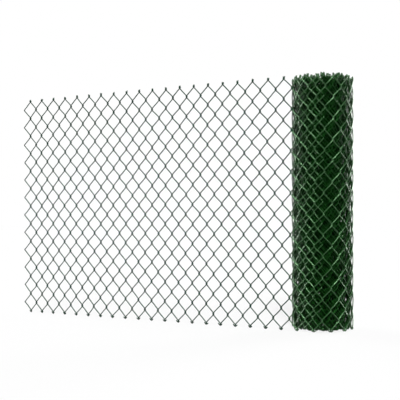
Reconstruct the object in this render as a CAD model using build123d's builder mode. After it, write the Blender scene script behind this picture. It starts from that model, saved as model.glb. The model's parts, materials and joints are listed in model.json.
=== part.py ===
"""Roll of chain-link fencing, standing on end with its free length drawn out.

The fabric is a row of upright spiral wires. Each is a flattened helix, hooked through the
helix beside it, so that together they leave diamond openings. The selvages are at the top,
where each pair of wire ends stands up as a short twin nub, and at the bottom, where each end
is bent back up round the wire beside it.

Axes: Z is up, along the roll. The drawn-out length runs from the roll towards -X, in front of
the roll on its -Y side. The origin is on the roll's axis, at the floor. Lengths are in mm.
"""

import os
from math import cos, pi, sin

from build123d import *

# Wire
wire_diameter = 4.5  # steel core with its plastic coat
wire_sides = 3  # flats that stand for the round section

# Mesh
mesh_width = 69.0  # one diamond along the fabric
mesh_height = 85.0  # one diamond up the fabric
mesh_rows = 12  # diamonds from selvage to selvage
bend_rise = 6.0  # height that a spiral gains where it turns from front to back
hook_clearance = 0.3  # between two spirals where one is hooked through the other
stroke_clearance = 0.5  # between a front stroke and the back stroke that it crosses

# Selvages
nub_height = 7.0  # upright ends above the last row
knuckle_length = 11.0  # end bent back up round the wire beside it

# Drawn-out length
drawn_spirals = 43  # spirals between the free end and the roll
drawn_lead = 6.5  # from the last of them to the line where the fabric meets the roll

# Roll
bore_radius = 28.0  # open eye of the roll
turn_count = 21  # turns that show on each end
nesting_depth = 4.9  # depth that the wires of one turn bed between those of the next
gap_depth = 9.0  # of the groove that parts the turns on each end
gap_width = 0.7  # of that groove at the face of the end
gap_runs = 10  # straight runs in one turn of that groove
seat_clearance = 0.3  # between the roll and the fabric that leaves it

# Derived sizes
spiral_spacing = mesh_width / 2
hook_spacing = wire_diameter + hook_clearance
half_width = (spiral_spacing + hook_spacing) / 2
weave_depth = wire_diameter + stroke_clearance
half_depth = weave_depth / 2
fabric_thickness = weave_depth + wire_diameter
turn_pitch = fabric_thickness - nesting_depth
roll_radius = bore_radius + turn_count * turn_pitch
drawn_plane = -(roll_radius + seat_clearance + fabric_thickness / 2)


def spiral_route():
    """Points of one spiral, from its knuckle up to its nub, both on its +X side.

    Heights are taken from the knuckle, the first crossing with the spiral beside it.
    """
    rise = bend_rise / 2
    run = Vector(2 * half_width, 0, mesh_height / 2 - bend_rise).normalized()
    knuckle_foot = Vector(half_width, -half_depth, -rise)
    points = [knuckle_foot + run * knuckle_length, knuckle_foot]
    for row in range(mesh_rows):
        right_bend = row * mesh_height
        left_bend = right_bend + mesh_height / 2
        points += [
            Vector(half_width, half_depth, right_bend + rise),
            Vector(-half_width, half_depth, left_bend - rise),
            Vector(-half_width, -half_depth, left_bend + rise),
            Vector(half_width, -half_depth, right_bend + mesh_height - rise),
        ]
    nub_foot = Vector(half_width, half_depth, mesh_rows * mesh_height + rise)
    return points + [nub_foot, nub_foot + Vector(0, 0, nub_height)]


def gap_route():
    """Points of the gap between the turns, from the eye out. The turns grow clockwise."""
    points = []
    for run in range((turn_count - 1) * gap_runs + 1):
        radius = bore_radius + turn_pitch * (0.5 + run / gap_runs)
        angle = pi / 2 - 2 * pi * run / gap_runs
        points.append(Vector(radius * cos(angle), radius * sin(angle), 0))
    return points


# Two hands of spiral: the second is the first turned half round, and they alternate
route = spiral_route()

with BuildPart() as right_ended:
    with BuildLine():
        Polyline(*route)
    with BuildSketch(Plane(origin=route[0], z_dir=route[1] - route[0])):
        RegularPolygon(radius=wire_diameter / 2, side_count=wire_sides)
    sweep(transition=Transition.RIGHT)

left_ended = right_ended.part.rotate(Axis.Z, 180)

# The fabric is as tall as one spiral, and stands on the knuckles
spiral_box = right_ended.part.bounding_box()
fabric_height = spiral_box.size.Z
crossing_height = -spiral_box.min.Z

# Wound part of the fabric, turned, before its ends are cut
with BuildPart() as turned_roll:
    with BuildSketch(Plane.XZ):
        with Locations(((bore_radius + roll_radius) / 2, fabric_height / 2)):
            Rectangle(roll_radius - bore_radius, fabric_height)
    revolve(axis=Axis.Z)

# Groove between the turns, deepest in its middle
gap_start, gap_next = gap_route()[:2]

with BuildPart() as gap:
    with BuildLine():
        Polyline(*gap_route())
    with BuildSketch(Plane(origin=gap_start, x_dir=(0, 0, 1), z_dir=gap_next - gap_start)):
        with BuildLine():
            mouth = gap_width / 2
            Polyline((gap_depth, 0), (0, mouth), (-mouth, mouth), (-mouth, -mouth), (0, -mouth), close=True)
        make_face()
    sweep(transition=Transition.RIGHT)

with BuildPart() as wound_roll:
    add(turned_roll.part)
    add(gap.part, mode=Mode.SUBTRACT)
    add(gap.part.mirror(Plane.XY.offset(fabric_height / 2)), mode=Mode.SUBTRACT)
wound_roll.part.label = "wound_roll"

os.makedirs("parts", exist_ok=True)
export_step(wound_roll.part, "parts/wound_roll.step")

for number in range(1, drawn_spirals + 1):
    hand = right_ended.part if number % 2 else left_ended
    from_roll = drawn_lead + (drawn_spirals - number) * spiral_spacing
    spiral = hand.moved(Location((-from_roll, drawn_plane, crossing_height)))
    spiral.label = f"spiral_{number:02d}"
    export_step(spiral, f"parts/{spiral.label}.step")
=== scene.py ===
"""Looks of the roll of chain-link fencing: round woven wires where the plain solids are.

A point of the fabric has three numbers: its distance along the fabric from the line where the
fabric meets the roll (negative on the drawn-out length), its depth towards the roll's axis, and
its height. Routes are worked out in millimetres in that flat fabric, then laid on the fabric's
curve and made into tubes in metres.
"""

import json
import math

import bpy
import numpy as np
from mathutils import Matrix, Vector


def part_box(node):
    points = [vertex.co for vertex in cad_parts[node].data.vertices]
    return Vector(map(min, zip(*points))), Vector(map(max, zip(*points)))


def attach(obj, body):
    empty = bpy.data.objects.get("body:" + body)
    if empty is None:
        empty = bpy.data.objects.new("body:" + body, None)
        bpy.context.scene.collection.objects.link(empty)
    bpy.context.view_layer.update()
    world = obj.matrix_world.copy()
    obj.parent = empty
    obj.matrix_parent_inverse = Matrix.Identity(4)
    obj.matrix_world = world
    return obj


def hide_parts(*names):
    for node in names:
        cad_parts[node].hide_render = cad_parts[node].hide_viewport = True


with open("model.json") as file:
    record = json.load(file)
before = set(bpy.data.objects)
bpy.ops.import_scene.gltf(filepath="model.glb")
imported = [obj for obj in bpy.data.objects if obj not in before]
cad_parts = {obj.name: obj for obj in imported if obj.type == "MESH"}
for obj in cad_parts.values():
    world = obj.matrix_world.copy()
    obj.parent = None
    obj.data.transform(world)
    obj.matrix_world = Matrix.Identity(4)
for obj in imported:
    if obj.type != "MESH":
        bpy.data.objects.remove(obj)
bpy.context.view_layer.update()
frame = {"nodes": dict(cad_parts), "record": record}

MM = 0.001
SEED = 20

# Wire and mesh, in millimetres
WIRE_DIAMETER = 4.5
CORE_SHARE = 3.5 / 4.5  # of the wire's diameter that is steel
MESH_ROWS = 12
MESH_HEIGHT = 85.0
WEAVE_DEPTH = 5.0  # from the front strokes to the back ones
HOOK_CLEARANCE = 0.3
BEND_RISE = 3.0  # height gained in a turn from front to back: sharper than in the plain solids
CORNER_CUT = 2.4  # length that a rounded corner takes from each of its two sides

# Selvages, in millimetres
NUB_HEIGHT = 8.5
NUB_START = -1.0  # height above its corner at which a nub starts to twist
NUB_CLEARANCE = 0.1  # between a nub's side and the axis that it twists round
NUB_TWIST = math.radians(200)
NUB_LEAN = 0.7  # scatter of the cut ends, sideways
NUB_GROWTH = (-4.0, -0.5)  # range by which the height of the cut ends differs from that
KNUCKLE_LENGTH = 11.0
KNUCKLE_DROP = 1.8  # by which a knuckle's bend is lower than the bends above it would be
KNUCKLE_SPREAD = 0.8  # scatter of the cut ends, along the fabric and in height
KNUCKLE_STANDOFF = 1.0  # most by which a cut end stands off the fabric

# Roll, in millimetres
TURN_PITCH = 4.6
BED_IN = 6.5  # depth by which the turns settle where the flat fabric comes onto the roll
OFF_ROUND = 4.5  # by which the roll's tight side is nearer to its axis, and the other side farther
TIGHT_SIDE = math.radians(27.78)  # direction of that side from the axis, from +X towards +Y
# The inner turns' coat carries painted shade; inner nubs in this top zone are left without it
UNSHADED_TOP = 12.0  # height of the top zone in which inner nubs are as bright as outer ones

# Uneven lie of the fabric: how far each kind moves the wires, in millimetres
LEAN = 7.0  # of the top towards the roll, and of the bottom away from it
SLIP_ALONG = 1.2
SLIP_UP = 0.8
DRIFT = 30  # of the hidden turns, along the fabric
SWAY = 26  # of the hidden turns, in height, halfway up the roll
TELESCOPE = 4  # of the turns against one another
RIPPLE = 3.0  # of the drawn-out length, out of its plane

# Stretches of the fabric over which these set in, in millimetres
LEAN_LENGTH = 1450
FIRST_TURN = 900
HIDDEN_START = 1150
HIDDEN_GROWTH = 600
FLAT_NEAR_ROLL = 300
KNUCKLE_ZONE = 30  # height over the floor in which no wire slips up or down

# How finely the wires are drawn: steps round a corner, steps along a stroke, sides
DRAWN_DETAIL = (3, 3, 8)
OUTER_DETAIL = (3, 3, 6)
INNER_DETAIL = (2, 2, 5)
OUTER_TURNS = 3
LEG_STEPS = 3
LEG_SHARE = 0.75  # of a knuckle's leg, over which those steps are spread
NUB_STEPS = 7

# Last spirals of the drawn-out length that shine as the roll's outside does, and take its coat rather
# than the drawn-out length's coat of painted shade
SPIRALS_AT_ROLL = 3

# Material slots of a piece of the fabric; only the inner turns have the last
COAT_SLOT = 0
CORE_SLOT = 1
OUTSIDE_COAT_SLOT = 2

# The photograph's view: level, from in front of the roll and to its right
CAMERA_AZIMUTH = math.radians(27.78)
CAMERA_DISTANCE = 3.165
CAMERA_HEIGHT = 0.4471
CAMERA_ASIDE = -0.5087
PHOTO_WIDTH = 400
FOCAL_PIXELS = 764
HORIZON_DROP = 20.7

# Lamps: azimuth from the camera's side to the right, elevation, softness, level
LAMPS = {
    "front_lamp_34": (0, 34, 12, 0.52),
    "front_lamp_44": (0, 44, 12, 0.52),
    "front_lamp_54": (0, 54, 12, 0.52),
    "right_lamp": (132, 12, 30, 1.0),
    "left_lamp": (-132, 12, 30, 1.0),
}
WORLD_LIGHT = 0.08
FLOOR_SIZE = 30
FLOOR_GREY = 0.12
FLOOR_WHITENESS = 0.812  # what the lit grey floor lacks to be white to the camera


def sizes_from_frame():
    """Names, first centre, spacing and half width of the spirals, fabric plane and height."""
    names = sorted(name for name in frame["nodes"] if name.startswith("spiral_"))
    low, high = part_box(names[0])
    third_low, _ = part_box(names[2])
    spacing = (third_low.x - low.x) / 2 / MM
    half_width = (spacing + WIRE_DIAMETER + HOOK_CLEARANCE) / 2
    first_centre = low.x / MM + half_width + WIRE_DIAMETER / 2
    plane = -(low.y + high.y) / 2 / MM
    return names, first_centre, spacing, half_width, plane, high.z / MM


NAMES, FIRST_CENTRE, SPACING, HALF_WIDTH, OUTER_RADIUS, HEIGHT = sizes_from_frame()
BORE_RADIUS = frame["record"]["mounts"][0]["dims"]["r_mm"]
HALF_DEPTH = WEAVE_DEPTH / 2
INNER_RADIUS = BORE_RADIUS + (WEAVE_DEPTH + WIRE_DIAMETER) / 2 + BED_IN
FIRST_CROSSING = HEIGHT - NUB_HEIGHT - BEND_RISE / 2 - MESH_ROWS * MESH_HEIGHT
WOUND_LENGTH = math.pi * (OUTER_RADIUS**2 - INNER_RADIUS**2) / TURN_PITCH


def wave(seed, shortest, longest, parts=5):
    """A smooth irregular curve between about -1 and 1."""
    rng = np.random.default_rng(seed)
    lengths = rng.uniform(shortest, longest, parts)
    phases = rng.uniform(0, 2 * math.pi, parts)
    shares = rng.uniform(0.5, 1, parts)
    shares /= shares.sum()
    boost = 1.6  # waves that are out of step hardly ever add up to 1

    def curve(place):
        place = np.asarray(place, float)[..., None]
        return (shares * np.sin(2 * math.pi * place / lengths + phases)).sum(-1) * boost

    return curve


telescope = wave(SEED, 500, 1500)
ripple = wave(SEED + 1, 260, 900)
slip = wave(SEED + 2, 150, 500)
drift = wave(SEED + 4, 300, 900)
sway = wave(SEED + 5, 350, 900)


def rounded_corner(before, corner, after, steps):
    """Points of a smooth bend that cuts the corner off."""
    start = corner + (before - corner) / np.linalg.norm(before - corner) * CORNER_CUT
    end = corner + (after - corner) / np.linalg.norm(after - corner) * CORNER_CUT
    points = []
    for step in range(steps + 1):
        t = step / steps
        points.append(start * (1 - t) ** 2 + corner * 2 * t * (1 - t) + end * t**2)
    return points


def spiral_corners():
    """Corners of one spiral wire in the flat fabric, from its knuckle up to its nub."""
    rise = BEND_RISE / 2
    run = np.array([2 * HALF_WIDTH, 0, MESH_HEIGHT / 2 - BEND_RISE])
    run /= np.linalg.norm(run)
    foot = np.array([HALF_WIDTH, -HALF_DEPTH, FIRST_CROSSING - rise - KNUCKLE_DROP])
    corners = [foot + run * KNUCKLE_LENGTH, foot]
    for row in range(MESH_ROWS):
        right = FIRST_CROSSING + row * MESH_HEIGHT
        left = right + MESH_HEIGHT / 2
        corners += [
            np.array([HALF_WIDTH, HALF_DEPTH, right + rise]),
            np.array([-HALF_WIDTH, HALF_DEPTH, left - rise]),
            np.array([-HALF_WIDTH, -HALF_DEPTH, left + rise]),
            np.array([HALF_WIDTH, -HALF_DEPTH, right + MESH_HEIGHT - rise]),
        ]
    top = FIRST_CROSSING + MESH_ROWS * MESH_HEIGHT
    corners.append(np.array([HALF_WIDTH, HALF_DEPTH, top + rise]))
    return corners


def nub_points(top):
    """Points of one nub: it closes in on the axis of its pair and twists round it."""
    axis = SPACING / 2
    reach = math.hypot(top[0] - axis, top[1])
    start_angle = math.atan2(top[1], top[0] - axis)
    points = []
    for step in range(NUB_STEPS + 1):
        share = step / NUB_STEPS
        angle = start_angle + NUB_TWIST * share
        radius = reach + (WIRE_DIAMETER / 2 + NUB_CLEARANCE - reach) * min(1, 2 * share)
        x = axis + radius * math.cos(angle)
        y = radius * math.sin(angle)
        z = top[2] + NUB_START + (NUB_HEIGHT - NUB_START) * share
        points.append(np.array([x, y, z]))
    return points


def spiral_route(corner_steps, stroke_steps):
    """Centre line of one spiral, and how far along its knuckle leg and its nub each point is."""
    corners = spiral_corners()
    points, leg, nub = [], [], []
    for step in range(LEG_STEPS):
        points.append(corners[0] + (corners[1] - corners[0]) * LEG_SHARE * step / LEG_STEPS)
        leg.append(1 - step / LEG_STEPS)
        nub.append(0.0)
    for index in range(1, len(corners) - 1):
        before, corner, after = corners[index - 1 : index + 2]
        bend = rounded_corner(before, corner, after, corner_steps)
        if np.linalg.norm(after - corner) > MESH_HEIGHT / 4:
            bend_end = bend[-1]
            next_start = after + (corner - after) / np.linalg.norm(after - corner) * CORNER_CUT
            for step in range(1, stroke_steps):
                bend.append(bend_end + (next_start - bend_end) * step / stroke_steps)
        points += bend
        leg += [0.0] * len(bend)
        nub += [0.0] * len(bend)
    points += nub_points(corners[-1])
    leg += [0.0] * (NUB_STEPS + 1)
    nub += [step / NUB_STEPS for step in range(NUB_STEPS + 1)]
    return np.array(points), np.array(leg), np.array(nub)


def uneven(along, depth, height):
    """Small irregularities of real fabric: a lean towards the roll, ripples and shifted turns.

    The number that multiplies a height inside a wave slants that wave across the fabric.
    """
    towards_roll = np.clip((along + LEAN_LENGTH) / LEAN_LENGTH, 0, 1)
    wound = np.clip(along / FIRST_TURN, 0, 1)
    hidden = np.clip((along - HIDDEN_START) / HIDDEN_GROWTH, 0, 1)
    upright = height / HEIGHT - 0.5
    along = along + 2 * LEAN * towards_roll * upright + SLIP_ALONG * slip(along + 3.1 * height)
    along = along + hidden * DRIFT * drift(along + 0.25 * height)
    raised = wound * (TELESCOPE + TELESCOPE * telescope(along))
    slipped = SLIP_UP * slip(2 * along - 1.7 * height) * (height > KNUCKLE_ZONE)
    height = height + raised + slipped
    middle = np.sin(math.pi * np.clip(height / HEIGHT, 0, 1))
    height = height + hidden * SWAY * sway(along + 0.9 * height) * middle
    free = 1 - np.clip((along + FLAT_NEAR_ROLL) / FLAT_NEAR_ROLL, 0, 1)
    depth = depth + free * RIPPLE * ripple(along + 0.4 * height)
    return along, depth, height


def fabric_point(along, depth, height):
    """Lays points of the flat fabric on its curve: straight, then wound inwards."""
    wound = np.clip(along, 0, None)
    closer = OUTER_RADIUS - np.sqrt(OUTER_RADIUS**2 - TURN_PITCH * wound / math.pi)
    turned = closer * 2 * math.pi / TURN_PITCH
    bedded = np.clip(turned / math.pi, 0, 1)
    settled = BED_IN * bedded * (2 - bedded)
    radius = OUTER_RADIUS - TURN_PITCH * turned / (2 * math.pi) - settled - depth
    angle = turned - math.pi / 2

    # The turns lie tighter on one side of the roll than on the other
    outward = (radius - BORE_RADIUS) / (OUTER_RADIUS - BORE_RADIUS)
    radius = radius - OFF_ROUND * bedded * outward * np.cos(angle - TIGHT_SIDE)
    x = np.where(along < 0, along, radius * np.cos(angle))
    y = np.where(along < 0, depth - OUTER_RADIUS, radius * np.sin(angle))
    return np.stack([x, y, height], -1)


def wires(first, count, corner_steps, stroke_steps):
    """Centre lines of spirals, as an array of wires by points, in metres."""
    rng = np.random.default_rng(SEED + 3 + first)
    route, leg, nub = spiral_route(corner_steps, stroke_steps)
    numbers = np.arange(first, first + count)
    hand = np.where(numbers % 2 == 0, 1.0, -1.0)[:, None]
    centre = (FIRST_CENTRE + numbers * SPACING)[:, None]
    lean = rng.normal(0, NUB_LEAN, (count, 2))
    grow = rng.uniform(*NUB_GROWTH, count)[:, None]
    across = route[:, 0] + nub * lean[:, :1] + leg * rng.normal(0, KNUCKLE_SPREAD, (count, 1))
    depth = route[:, 1] + nub * lean[:, 1:] - leg * rng.uniform(0, KNUCKLE_STANDOFF, (count, 1))
    height = route[:, 2] + nub * grow + leg * rng.normal(0, KNUCKLE_SPREAD, (count, 1))
    height = np.broadcast_to(height, across.shape)
    return fabric_point(*uneven(centre + hand * across, hand * depth, height)) * MM


def tube_mesh(name, lines, diameter, sides):
    """Round closed tubes along several centre lines with as many points each."""
    count, length, _ = lines.shape
    ahead = np.diff(lines, axis=1)
    ahead /= np.linalg.norm(ahead, axis=2, keepdims=True)
    direction = np.concatenate([ahead[:, :1], ahead[:, 1:] + ahead[:, :-1], ahead[:, -1:]], 1)
    direction /= np.linalg.norm(direction, axis=2, keepdims=True)

    # Each section takes its normal from the one before, so that the tube doesn't twist. The
    # first takes it from a direction in which no wire starts.
    normal = np.zeros_like(lines)
    guide = np.broadcast_to(np.array([0.3, 0.2, -0.9]), (count, 3))
    for point in range(length):
        guide = guide - (guide * direction[:, point]).sum(1, keepdims=True) * direction[:, point]
        guide = guide / np.linalg.norm(guide, axis=1, keepdims=True)
        normal[:, point] = guide
    other = np.cross(direction, normal)

    # The corners stand out a little, so that the flats add up to the round wire's girth
    radius = diameter / 2 * math.pi / (sides * math.sin(math.pi / sides))
    angle = 2 * math.pi * np.arange(sides) / sides
    ring = normal[:, :, None] * np.cos(angle)[:, None] + other[:, :, None] * np.sin(angle)[:, None]
    rings = lines[:, :, None] + ring * radius

    # Each cut end shows its steel core inside the coat
    cores = [lines[:, end, None] + ring[:, end] * radius * CORE_SHARE for end in (0, -1)]
    rings = np.concatenate([cores[0][:, None], rings, cores[1][:, None]], 1)
    rows = length + 2
    spans = (np.arange(count), np.arange(rows - 1), np.arange(sides))
    wire, row, side = np.meshgrid(*spans, indexing="ij")
    base = (wire * rows + row) * sides
    near, far = base + side, base + (side + 1) % sides
    quads = np.stack([near, far, far + sides, near + sides], -1).reshape(-1, 4)
    starts = (np.arange(count) * rows * sides)[:, None] + np.arange(sides)[::-1]
    ends = ((np.arange(count) * rows + rows - 1) * sides)[:, None] + np.arange(sides)
    faces = quads.tolist() + starts.tolist() + ends.tolist()
    slots = [COAT_SLOT] * len(quads) + [CORE_SLOT] * (2 * count)
    mesh = bpy.data.meshes.new(name)
    mesh.from_pydata(rings.reshape(-1, 3).tolist(), [], faces)
    mesh.polygons.foreach_set("use_smooth", [True] * len(quads) + [False] * (2 * count))
    mesh.polygons.foreach_set("material_index", slots)
    mesh.update()
    return mesh


def clear_of_shade(mesh):
    """Gives the ends that stand out of the top of the roll the coat of its outside, so that they
    don't carry the painted shade of the inner turns' coat.
    """
    centres = np.empty(len(mesh.polygons) * 3)
    mesh.polygons.foreach_get("center", centres)
    slots = np.empty(len(mesh.polygons), int)
    mesh.polygons.foreach_get("material_index", slots)
    heights = centres[2::3]
    clear = heights > (HEIGHT - UNSHADED_TOP) * MM
    slots[clear & (slots == COAT_SLOT)] = OUTSIDE_COAT_SLOT
    mesh.polygons.foreach_set("material_index", slots)


def add_wires(name, first, count, detail, node, finish):
    """One piece of the fabric, in place of a plain solid."""
    corner_steps, stroke_steps, sides = detail
    mesh = tube_mesh(name, wires(first, count, corner_steps, stroke_steps), WIRE_DIAMETER * MM, sides)
    piece = bpy.data.objects.new(name, mesh)
    bpy.context.scene.collection.objects.link(piece)
    mesh.materials.append(finish)
    mesh.materials.append(steel)
    if finish == shaded_inner_coat:
        mesh.materials.append(coat)
        clear_of_shade(mesh)
    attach(piece, "root")
    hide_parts(node)


def add_drawn_length():
    """The flat length: one piece for each of its spirals."""
    for number, node in enumerate(NAMES):
        finish = coat if number >= len(NAMES) - SPIRALS_AT_ROLL else shaded_drawn_coat
        add_wires("drawn_" + node, number, 1, DRAWN_DETAIL, node, finish)


def add_roll():
    """The wound mesh: one piece for each turn, from the outside in."""
    first = len(NAMES)
    last = first + int((WOUND_LENGTH - (FIRST_CENTRE + first * SPACING)) / SPACING)
    turn = 1
    while first < last:
        along = FIRST_CENTRE + first * SPACING
        radius = math.sqrt(OUTER_RADIUS**2 - TURN_PITCH * max(along, 0) / math.pi)
        count = min(last - first, round(2 * math.pi * radius / SPACING))
        detail = OUTER_DETAIL if turn <= OUTER_TURNS else INNER_DETAIL
        # Turns inside the outer one take the coat of painted shade and painted glints
        finish = coat if turn == 1 else shaded_inner_coat
        add_wires(f"wound_turn_{turn:02d}", first, count, detail, "wound_roll", finish)
        first += count
        turn += 1


def new_material(name):
    material = bpy.data.materials.new(name)
    material.use_nodes = True
    nodes = material.node_tree.nodes
    return material, nodes, material.node_tree.links, nodes["Principled BSDF"]


def coat_material(name, dark, light, grain, flecks, roughness, specular, tint):
    """Glossy green plastic coat, uneven in colour and gloss, with fine waves and scuffs.

    The grain is the scale of its paler flecks, and flecks the two levels of noise between which
    the coat goes from its dark colour to its light one.
    """
    scuff_scale, wave_strength, wave_height = 420, 0.4, 0.0004
    material, nodes, links, shader = new_material(name)
    place = nodes.new("ShaderNodeTexCoord")
    patches = nodes.new("ShaderNodeTexNoise")
    patches.inputs["Scale"].default_value = grain
    patches.inputs["Detail"].default_value = 2
    links.new(place.outputs["Object"], patches.inputs["Vector"])
    colours = nodes.new("ShaderNodeValToRGB")
    for element, level, colour in zip(colours.color_ramp.elements, flecks, (dark, light)):
        element.position = level
        element.color = (*colour, 1)
    links.new(patches.outputs["Fac"], colours.inputs["Fac"])
    links.new(colours.outputs["Color"], shader.inputs["Base Color"])
    scuffs = nodes.new("ShaderNodeTexNoise")
    scuffs.inputs["Scale"].default_value = scuff_scale
    scuffs.inputs["Detail"].default_value = 3
    links.new(place.outputs["Object"], scuffs.inputs["Vector"])
    gloss = nodes.new("ShaderNodeMapRange")
    gloss.inputs["To Min"].default_value, gloss.inputs["To Max"].default_value = roughness
    links.new(scuffs.outputs["Fac"], gloss.inputs["Value"])
    links.new(gloss.outputs["Result"], shader.inputs["Roughness"])
    bump = nodes.new("ShaderNodeBump")
    bump.inputs["Strength"].default_value = wave_strength
    bump.inputs["Distance"].default_value = wave_height
    links.new(scuffs.outputs["Fac"], bump.inputs["Height"])
    links.new(bump.outputs["Normal"], shader.inputs["Normal"])
    shader.inputs["Specular IOR Level"].default_value = specular
    shader.inputs["Specular Tint"].default_value = (tint, 1, tint, 1)
    return material


def steel_material():
    """Bare cut end of the steel core."""
    grain_scale, dark, light = 900, (0.16, 0.16, 0.16, 1), (0.42, 0.41, 0.39, 1)
    material, nodes, links, shader = new_material("cut_steel")
    grain = nodes.new("ShaderNodeTexNoise")
    grain.inputs["Scale"].default_value = grain_scale
    tone = nodes.new("ShaderNodeValToRGB")
    tone.color_ramp.elements[0].color = dark
    tone.color_ramp.elements[1].color = light
    links.new(grain.outputs["Fac"], tone.inputs["Fac"])
    links.new(tone.outputs["Color"], shader.inputs["Base Color"])
    shader.inputs["Metallic"].default_value = 0.9
    shader.inputs["Roughness"].default_value = 0.45
    return material


def white_rays(nodes, links):
    """One for rays that see the surroundings: from the camera, in a reflection or through glass."""
    path = nodes.new("ShaderNodeLightPath")
    direct = nodes.new("ShaderNodeMath")
    direct.operation = "MAXIMUM"
    links.new(path.outputs["Is Camera Ray"], direct.inputs[0])
    links.new(path.outputs["Is Transmission Ray"], direct.inputs[1])
    seen = nodes.new("ShaderNodeMath")
    seen.operation = "MAXIMUM"
    links.new(direct.outputs["Value"], seen.inputs[0])
    links.new(path.outputs["Is Glossy Ray"], seen.inputs[1])
    return seen


def white_world():
    """White to the camera and in reflections, a plain soft level for the light itself."""
    world = bpy.data.worlds.new("studio")
    bpy.context.scene.world = world
    world.use_nodes = True
    nodes, links = world.node_tree.nodes, world.node_tree.links
    background = nodes["Background"]
    background.inputs["Color"].default_value = (1, 1, 1, 1)
    seen = white_rays(nodes, links)
    level = nodes.new("ShaderNodeMapRange")
    level.inputs["To Min"].default_value = WORLD_LIGHT
    level.inputs["To Max"].default_value = 1.0
    links.new(seen.outputs["Value"], level.inputs["Value"])
    links.new(level.outputs["Result"], background.inputs["Strength"])


def floor_material():
    """Grey under the lamps, for the object's shadow, and made up to white for the camera."""
    material, nodes, links, shader = new_material("white_floor")
    shader.inputs["Base Color"].default_value = (FLOOR_GREY, FLOOR_GREY, FLOOR_GREY, 1)
    shader.inputs["Roughness"].default_value = 0.9
    shader.inputs["Specular IOR Level"].default_value = 0.0
    seen = white_rays(nodes, links)
    level = nodes.new("ShaderNodeMath")
    level.operation = "MULTIPLY"
    level.inputs[1].default_value = FLOOR_WHITENESS
    links.new(seen.outputs["Value"], level.inputs[0])
    shader.inputs["Emission Color"].default_value = (1, 1, 1, 1)
    links.new(level.outputs["Value"], shader.inputs["Emission Strength"])
    return material


def add_floor():
    mesh = bpy.data.meshes.new("floor")
    corners = [(FLOOR_SIZE * x, FLOOR_SIZE * y, 0) for x, y in ((-1, -1), (1, -1), (1, 1), (-1, 1))]
    mesh.from_pydata(corners, [], [(0, 1, 2, 3)])
    floor = bpy.data.objects.new("floor", mesh)
    bpy.context.scene.collection.objects.link(floor)
    mesh.materials.append(floor_material())


def add_lamp(name, azimuth, elevation, softness, level):
    """Far soft lamp. Its azimuth is counted from the camera's side, to the right."""
    lamp = bpy.data.lights.new(name, "SUN")
    lamp.angle = math.radians(softness)
    lamp.energy = level * math.pi
    holder = bpy.data.objects.new(name, lamp)
    bpy.context.scene.collection.objects.link(holder)
    turn = CAMERA_AZIMUTH + math.radians(azimuth) - math.pi / 2
    lift = math.radians(elevation)
    level_share = math.cos(lift)
    source = Vector((math.cos(turn) * level_share, math.sin(turn) * level_share, math.sin(lift)))
    holder.rotation_euler = source.to_track_quat("Z", "Y").to_euler()


def add_camera():
    data = bpy.data.cameras.new("camera")
    data.sensor_fit = "HORIZONTAL"
    data.sensor_width = 36
    data.lens = FOCAL_PIXELS / PHOTO_WIDTH * data.sensor_width
    data.shift_y = HORIZON_DROP / PHOTO_WIDTH
    camera = bpy.data.objects.new("camera", data)
    bpy.context.scene.collection.objects.link(camera)
    forward = Vector((-math.sin(CAMERA_AZIMUTH), math.cos(CAMERA_AZIMUTH), 0))
    right = Vector((math.cos(CAMERA_AZIMUTH), math.sin(CAMERA_AZIMUTH), 0))
    level = Vector((0, 0, CAMERA_HEIGHT))
    camera.location = right * CAMERA_ASIDE - forward * CAMERA_DISTANCE + level
    camera.rotation_euler = (math.pi / 2, 0, CAMERA_AZIMUTH)
    bpy.context.scene.camera = camera


# Coat of the roll's outside
coat = coat_material(
    "green_coat",
    dark=(0.001, 0.012, 0.001),
    light=(0.007, 0.046, 0.007),
    grain=60,
    flecks=(0.35, 0.65),
    roughness=(0.15, 0.25),
    specular=0.9,
    tint=0.5,
)

# Coat of the turns inside it, duller and darker: its dark colour is painted shade and its paler
# flecks are painted glints
shaded_inner_coat = coat_material(
    "green_coat_inside_painted_shade",
    dark=(0.0003, 0.003, 0.0003),
    light=(0.013, 0.085, 0.013),
    grain=260,
    flecks=(0.54, 0.64),
    roughness=(0.4, 0.6),
    specular=0.22,
    tint=0.15,
)

# Coat of the drawn-out length, which shines less than the roll's outside and is darker as painted
# shade
shaded_drawn_coat = coat_material(
    "green_coat_drawn_painted_shade",
    dark=(0.0004, 0.017, 0.008),
    light=(0.002, 0.038, 0.02),
    grain=60,
    flecks=(0.35, 0.65),
    roughness=(0.35, 0.5),
    specular=0.12,
    tint=0.6,
)
steel = steel_material()

add_drawn_length()
add_roll()
white_world()
add_floor()
for name, lamp in LAMPS.items():
    add_lamp(name, *lamp)
add_camera()
bpy.context.scene.view_settings.view_transform = "Standard"
